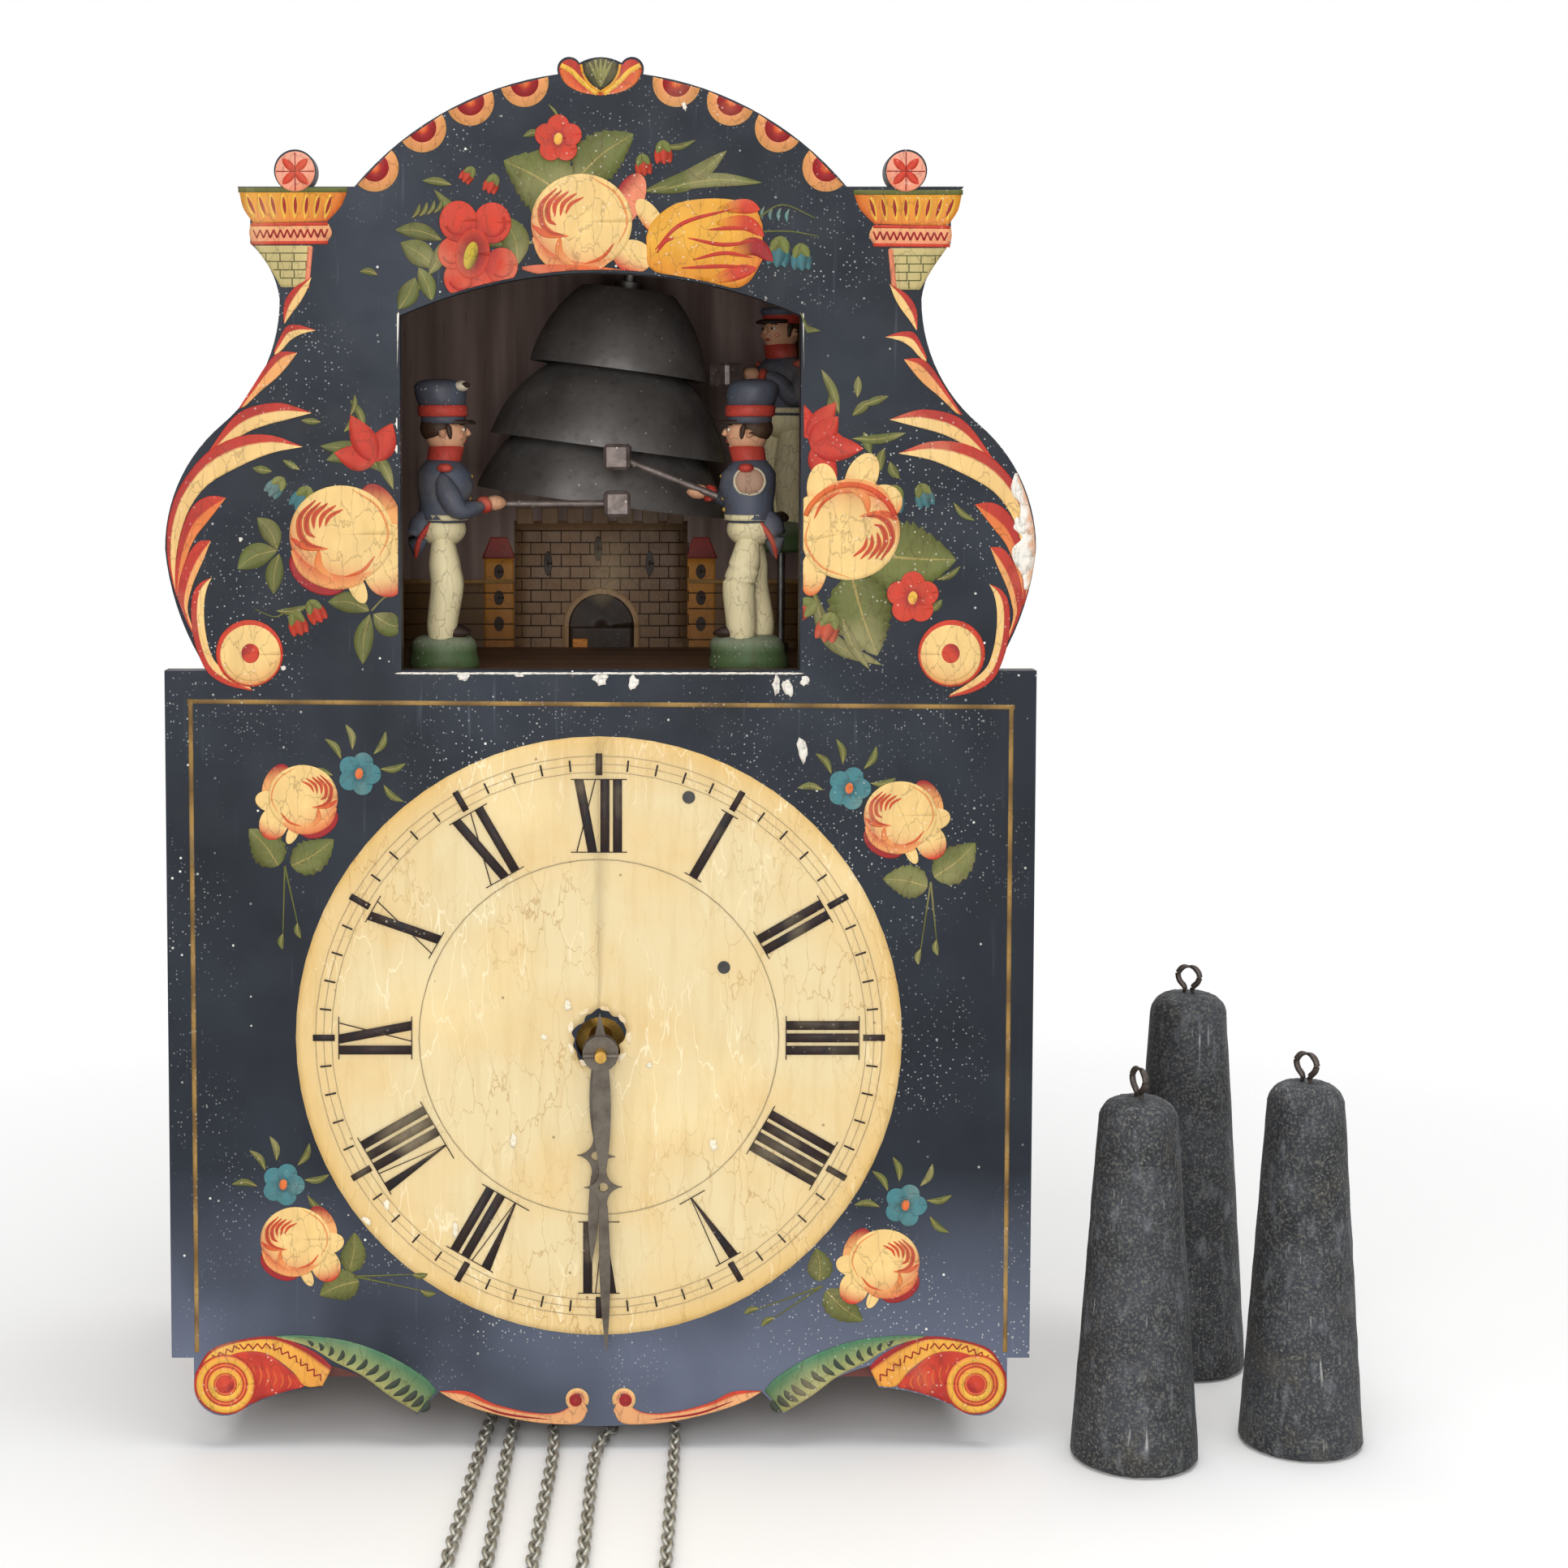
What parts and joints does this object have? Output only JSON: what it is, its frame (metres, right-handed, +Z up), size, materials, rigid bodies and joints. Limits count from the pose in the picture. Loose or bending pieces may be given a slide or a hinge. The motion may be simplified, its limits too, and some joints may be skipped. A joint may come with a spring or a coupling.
{
  "type": "automaton shield clock",
  "caption": "Painted shield clock with a stage of bell-striking figures above the dial, a wooden-plate movement in an open-backed case, pull chains and cast weights.",
  "frame": {"origin": "bottom centre of the box around the clock and its three weights, on the surface they stand on", "axes": "+Z up, +X to the right of the dial as it is read, +Y from the dial towards the back"},
  "size_m": [0.4214, 0.2808, 0.4855],
  "materials": {
    "painted_shield": "blue-black painted wood",
    "case_wood": "stained softwood",
    "plate_wood": "plain beech",
    "wheel_brass": "aged brass",
    "steel": "dull steel",
    "bell_metal": "dark bell metal",
    "hammer_iron": "worn iron",
    "figure_paint": "painted carved wood",
    "weight_iron": "grey cast iron",
    "chain_brass": "tarnished brass"
  },
  "bodies": {
    "case": {"crest_board": "painted_shield", "dial_board": "painted_shield", "apron_board": "painted_shield", "shield_batten": "case_wood", "shield_nails": "steel", "case_bottom": "case_wood", "stage_floor": "case_wood", "case_side_left": "case_wood", "case_side_right": "case_wood", "stage_sides": "case_wood", "stage_top": "case_wood", "stage_backdrop": "case_wood", "hanger_plate": "steel", "front_plate": "plate_wood", "second_plate": "plate_wood", "third_plate": "plate_wood", "back_plate": "plate_wood", "bell_low": "bell_metal", "bell_middle": "bell_metal", "bell_high": "bell_metal", "bell_stem": "steel", "going_chain": "chain_brass", "strike_chain": "chain_brass", "figure_chain": "chain_brass", "chain_rings": "chain_brass"},
    "minute": {"centre_wheel": "wheel_brass", "cannon_pinion": "wheel_brass", "minute_hand": "steel", "hand_collet": "wheel_brass"},
    "hour": {"hour_wheel": "wheel_brass", "hour_hand": "steel"},
    "minute_wheel": {"minute_wheel": "wheel_brass"},
    "going_great": {"going_great_wheel": "wheel_brass", "going_arbor": "steel"},
    "third": {"third_wheel": "wheel_brass"},
    "escape": {"escape_wheel": "wheel_brass"},
    "anchor": {"anchor": "steel"},
    "strike_great": {"strike_great_wheel": "wheel_brass", "strike_arbor": "steel"},
    "strike_fly": {"strike_fly": "wheel_brass"},
    "figure_great": {"figure_great_wheel": "wheel_brass", "figure_arbor": "steel"},
    "figure_fly": {"figure_fly": "wheel_brass"},
    "left_striker": {"left_figure": "figure_paint", "left_hammer": "hammer_iron", "left_pivot": "steel"},
    "left_lift": {"left_lever": "steel"},
    "right_striker": {"right_figure": "figure_paint", "right_hammer": "hammer_iron", "right_pivot": "steel"},
    "right_lift": {"right_lever": "steel"},
    "rear_striker": {"rear_figure": "figure_paint", "rear_hammer": "hammer_iron", "rear_pivot": "steel"},
    "rear_lift": {"rear_lever": "steel"},
    "door_left": {"door_left": "case_wood"},
    "door_right": {"door_right": "case_wood"},
    "front_weight": {"front_weight": "weight_iron"},
    "side_weight": {"side_weight": "weight_iron"},
    "back_weight": {"back_weight": "weight_iron"}
  },
  "joints": [
    {"name": "minute_hand_turn", "type": "hinge", "parent": "case", "child": "minute", "pos_m": [-0.05975, -0.00625, 0.1427], "axis": [0, 1, 0], "continuous": true},
    {"name": "hour_hand_turn", "type": "hinge", "parent": "case", "child": "hour", "pos_m": [-0.05975, -0.00625, 0.1427], "axis": [0, 1, 0], "continuous": true},
    {"name": "minute_wheel_turn", "type": "hinge", "parent": "case", "child": "minute_wheel", "pos_m": [-0.07655, -0.00625, 0.1427], "axis": [0, 1, 0], "continuous": true},
    {"name": "going_great_turn", "type": "hinge", "parent": "case", "child": "going_great", "pos_m": [-0.05975, -0.00625, 0.1077], "axis": [0, 1, 0], "continuous": true},
    {"name": "third_wheel_turn", "type": "hinge", "parent": "case", "child": "third", "pos_m": [-0.04785, -0.00625, 0.16331], "axis": [0, 1, 0], "continuous": true},
    {"name": "escape_wheel_turn", "type": "hinge", "parent": "case", "child": "escape", "pos_m": [-0.05975, -0.00625, 0.18134], "axis": [0, 1, 0], "continuous": true},
    {"name": "strike_great_turn", "type": "hinge", "parent": "case", "child": "strike_great", "pos_m": [-0.05975, -0.00625, 0.1077], "axis": [0, 1, 0], "continuous": true},
    {"name": "strike_fly_turn", "type": "hinge", "parent": "case", "child": "strike_fly", "pos_m": [-0.05975, -0.00625, 0.1427], "axis": [0, 1, 0], "continuous": true},
    {"name": "figure_great_turn", "type": "hinge", "parent": "case", "child": "figure_great", "pos_m": [-0.05975, -0.00625, 0.1077], "axis": [0, 1, 0], "continuous": true},
    {"name": "figure_fly_turn", "type": "hinge", "parent": "case", "child": "figure_fly", "pos_m": [-0.05975, -0.00625, 0.1427], "axis": [0, 1, 0], "continuous": true},
    {"name": "anchor_rock", "type": "hinge", "parent": "case", "child": "anchor", "pos_m": [-0.05975, 0.03375, 0.19534], "axis": [0, 1, 0], "range_deg": [-3, 3]},
    {"name": "left_figure_turn", "type": "hinge", "parent": "case", "child": "left_striker", "pos_m": [-0.11675, -0.01825, 0.2714], "axis": [0, 0, 1], "range_deg": [-24, 2]},
    {"name": "left_lever_lift", "type": "hinge", "parent": "case", "child": "left_lift", "pos_m": [-0.09775, 0.01375, 0.205], "axis": [0, 1, 0], "range_deg": [-0.6, 6.6]},
    {"name": "right_figure_turn", "type": "hinge", "parent": "case", "child": "right_striker", "pos_m": [-0.00575, -0.01825, 0.2714], "axis": [0, 0, 1], "range_deg": [-2, 24]},
    {"name": "right_lever_lift", "type": "hinge", "parent": "case", "child": "right_lift", "pos_m": [-0.02175, 0.01375, 0.205], "axis": [0, 1, 0], "range_deg": [-6.6, 0.6]},
    {"name": "rear_figure_turn", "type": "hinge", "parent": "case", "child": "rear_striker", "pos_m": [0.01125, 0.05875, 0.2714], "axis": [0, 0, 1], "range_deg": [-1, 24]},
    {"name": "rear_lever_lift", "type": "hinge", "parent": "case", "child": "rear_lift", "pos_m": [-0.02175, 0.01375, 0.218], "axis": [0, 1, 0], "range_deg": [-13.5, 0.6]},
    {"name": "door_left_open", "type": "hinge", "parent": "case", "child": "door_left", "pos_m": [-0.19175, 0.06725, 0.072], "axis": [0, 0, -1], "range_deg": [0, 90]},
    {"name": "door_right_open", "type": "hinge", "parent": "case", "child": "door_right", "pos_m": [0.07225, 0.06725, 0.072], "axis": [0, 0, 1], "range_deg": [0, 90]},
    {"name": "front_weight_lift", "type": "slide", "parent": "case", "child": "front_weight", "axis": [0, 0, 1], "range_m": [0, 0.25]},
    {"name": "side_weight_lift", "type": "slide", "parent": "case", "child": "side_weight", "axis": [0, 0, 1], "range_m": [0, 0.25]},
    {"name": "back_weight_lift", "type": "slide", "parent": "case", "child": "back_weight", "axis": [0, 0, 1], "range_m": [0, 0.25]}
  ],
  "couplings": [
    {"joint": "hour_hand_turn", "follows": "minute_hand_turn", "ratio": 0.083333},
    {"joint": "minute_wheel_turn", "follows": "minute_hand_turn", "ratio": -0.33333},
    {"joint": "going_great_turn", "follows": "minute_hand_turn", "ratio": -0.16667},
    {"joint": "third_wheel_turn", "follows": "minute_hand_turn", "ratio": -7.5},
    {"joint": "escape_wheel_turn", "follows": "minute_hand_turn", "ratio": 60},
    {"joint": "strike_fly_turn", "follows": "strike_great_turn", "ratio": -6},
    {"joint": "figure_fly_turn", "follows": "figure_great_turn", "ratio": -6},
    {"joint": "left_lever_lift", "follows": "left_figure_turn", "ratio": -0.275},
    {"joint": "right_lever_lift", "follows": "right_figure_turn", "ratio": -0.275},
    {"joint": "rear_lever_lift", "follows": "rear_figure_turn", "ratio": -0.56}
  ]
}
